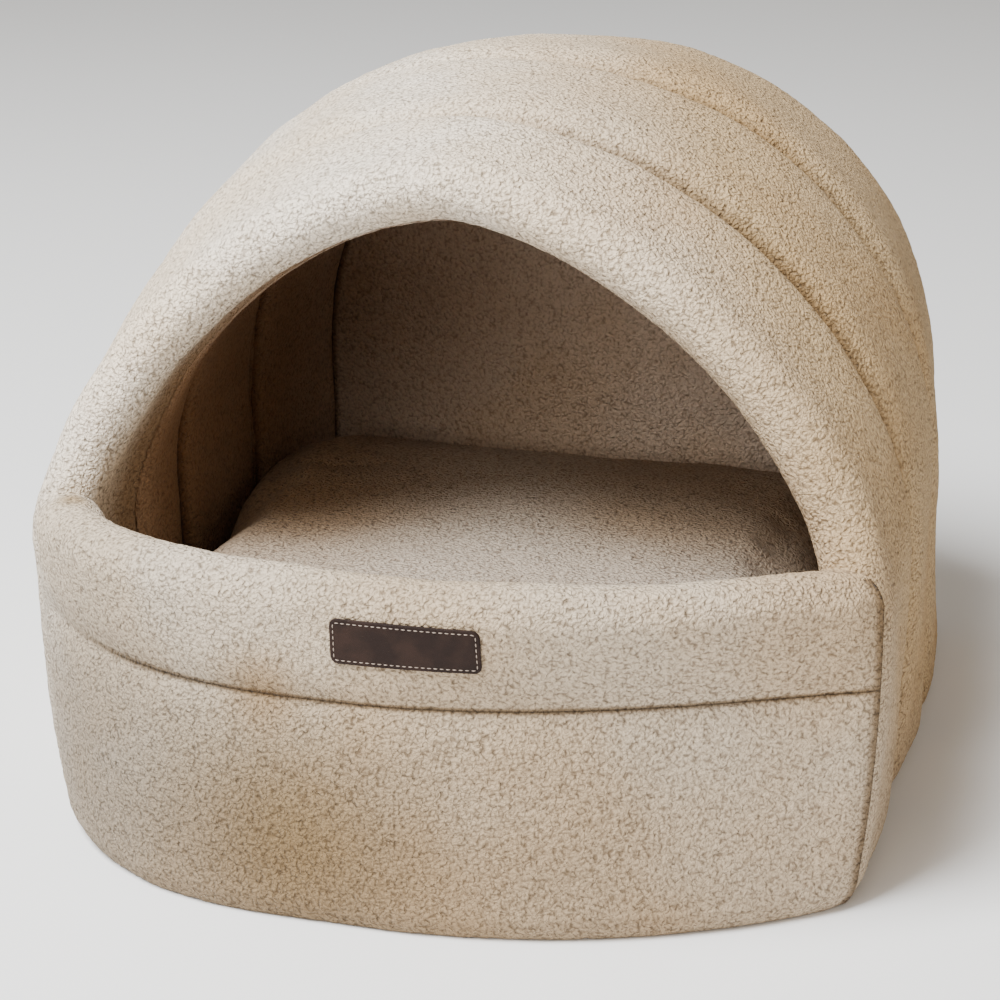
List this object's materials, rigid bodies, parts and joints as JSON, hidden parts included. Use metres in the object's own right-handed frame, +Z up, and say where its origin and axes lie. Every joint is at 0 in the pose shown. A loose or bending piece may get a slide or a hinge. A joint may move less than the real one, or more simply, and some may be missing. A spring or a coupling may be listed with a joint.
{
  "type": "pet bed house",
  "caption": "Soft covered pet bed with a padded arched hood, a bowed front wall, a closed back and a loose cushion inside.",
  "frame": {"origin": "on the floor, at the middle of the bed's outer box", "axes": "+Z up; -Y toward the front wall and the doorway; +Y toward the closed back; +X to the right of someone facing the doorway"},
  "size_m": [0.4716, 0.4994, 0.3961],
  "materials": {
    "curly_cloth": "short curly pile in cream",
    "lining_cloth": "short curly pile in taupe",
    "cushion_cloth": "short curly pile in pinkish taupe",
    "base_cloth": "plain matt woven cloth",
    "label_leather": "smooth dark brown leather with a soft sheen"
  },
  "bodies": {
    "root": {"hood": "curly_cloth", "front_wall": "curly_cloth", "back_panel": "curly_cloth", "hood_lining": "lining_cloth", "back_lining": "lining_cloth", "base": "base_cloth", "cushion": "cushion_cloth", "label": "label_leather"}
  },
  "joints": []
}
